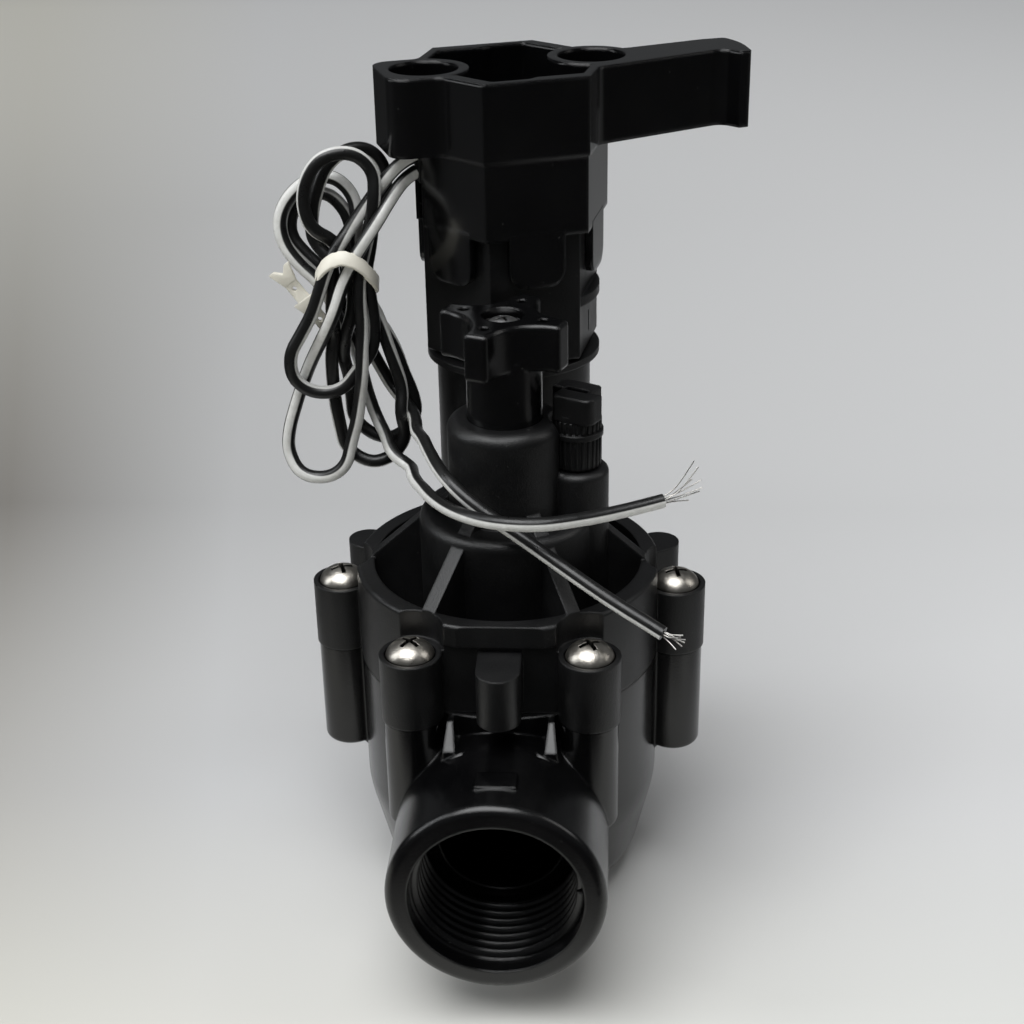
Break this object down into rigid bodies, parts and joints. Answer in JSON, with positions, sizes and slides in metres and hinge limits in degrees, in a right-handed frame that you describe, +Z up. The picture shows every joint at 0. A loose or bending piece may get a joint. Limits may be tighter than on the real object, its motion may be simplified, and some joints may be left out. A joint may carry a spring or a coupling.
{
  "type": "solenoid valve",
  "caption": "Electric diaphragm valve for a water line: threaded in-line body, screwed bonnet, flow control handle, bleed screw, and a turning solenoid column with a push-on key and tied leads.",
  "frame": {"origin": "on the plane the bowl's foot stands on, under the axis of the bonnet's bolt circle", "axes": "+Z up along the bolt circle axis; +Y along the flow, from the inlet port to the outlet port; +X to the right seen from the inlet"},
  "size_m": [0.0991, 0.114, 0.17],
  "materials": {
    "body_plastic": "glossy injection-moulded black plastic",
    "bonnet_plastic": "satin injection-moulded black plastic",
    "column_plastic": "satin black plastic with a fine grain",
    "key_plastic": "glossy black plastic",
    "screw_steel": "stainless steel, turned",
    "bright_steel": "stainless steel, drawn",
    "soft_iron": "magnetic steel, ground",
    "brass": "brass, turned",
    "black_rubber": "black rubber",
    "bobbin_plastic": "natural glass-filled plastic",
    "copper": "enamelled copper wire, layered",
    "resin": "black potting resin",
    "lead_cover": "black cable cover with a broad white stripe",
    "tie_plastic": "cream plastic"
  },
  "bodies": {
    "valve_body": {"valve_body": "body_plastic", "bonnet": "bonnet_plastic", "bonnet_screws": "screw_steel", "diaphragm": "black_rubber", "closing_spring": "bright_steel"},
    "diaphragm_assembly": {"diaphragm_guide": "bonnet_plastic", "seat_disc": "black_rubber", "seat_disc_holder": "bonnet_plastic", "diaphragm_plate": "bonnet_plastic", "diaphragm_screw": "bright_steel"},
    "flow_thrust": {"flow_thrust_pad": "brass"},
    "flow_control": {"flow_handle": "bonnet_plastic", "flow_stem": "brass", "flow_o_ring": "black_rubber", "handle_screw": "bright_steel"},
    "bleed_rise": {"bleed_o_ring": "black_rubber"},
    "bleed_screw": {"bleed_screw": "bonnet_plastic"},
    "solenoid": {"solenoid_base": "column_plastic", "solenoid_o_ring": "black_rubber", "core_tube": "bright_steel", "fixed_core": "soft_iron", "plunger_spring": "bright_steel", "coil_bobbin": "bobbin_plastic", "coil_winding": "copper", "yoke_sleeve": "soft_iron", "yoke_washer": "soft_iron", "solenoid_housing": "column_plastic", "resin_fill": "resin", "lead_grommet": "black_rubber", "lead_exit_a": "lead_cover", "lead_exit_b": "lead_cover", "lead_hank": "lead_cover", "lead_tail_a": "lead_cover", "lead_tail_b": "lead_cover", "lead_tie": "tie_plastic"},
    "plunger": {"plunger": "soft_iron", "plunger_seal": "black_rubber"},
    "solenoid_key": {"solenoid_key": "key_plastic"}
  },
  "joints": [
    {"name": "diaphragm_lift", "type": "slide", "parent": "valve_body", "child": "diaphragm_assembly", "axis": [0, 0, 1], "range_m": [0, 0.0056], "stiffness_N_per_m": 400, "springref_m": -0.004, "deforming": ["diaphragm", "closing_spring"]},
    {"name": "flow_travel", "type": "slide", "parent": "valve_body", "child": "flow_thrust", "axis": [0, 0, 1], "range_m": [-0.0056, 0]},
    {"name": "flow_turn", "type": "hinge", "parent": "flow_thrust", "child": "flow_control", "pos_m": [0, 0, 0.1], "axis": [0, 0, 1], "range_deg": [-1008.5, 0]},
    {"name": "bleed_travel", "type": "slide", "parent": "valve_body", "child": "bleed_rise", "axis": [0, 0, 1], "range_m": [0, 0.003]},
    {"name": "bleed_turn", "type": "hinge", "parent": "bleed_rise", "child": "bleed_screw", "pos_m": [0.0144, 0, 0.1], "axis": [0, 0, 1], "range_deg": [0, 720.5]},
    {"name": "solenoid_turn", "type": "hinge", "parent": "valve_body", "child": "solenoid", "pos_m": [0, 0.0323, 0.09], "axis": [0, 0, 1], "range_deg": [-90, 0]},
    {"name": "plunger_lift", "type": "slide", "parent": "solenoid", "child": "plunger", "axis": [0, 0, 1], "range_m": [0, 0.002], "stiffness_N_per_m": 150, "springref_m": -0.002, "deforming": ["plunger_spring"]},
    {"name": "key_lift", "type": "slide", "parent": "solenoid", "child": "solenoid_key", "axis": [0, 0, 1], "range_m": [0, 0.05]}
  ],
  "couplings": [
    {"joint": "flow_turn", "follows": "flow_travel", "rad_per_m": 3141.6},
    {"joint": "bleed_turn", "follows": "bleed_travel", "rad_per_m": 4188.8}
  ]
}
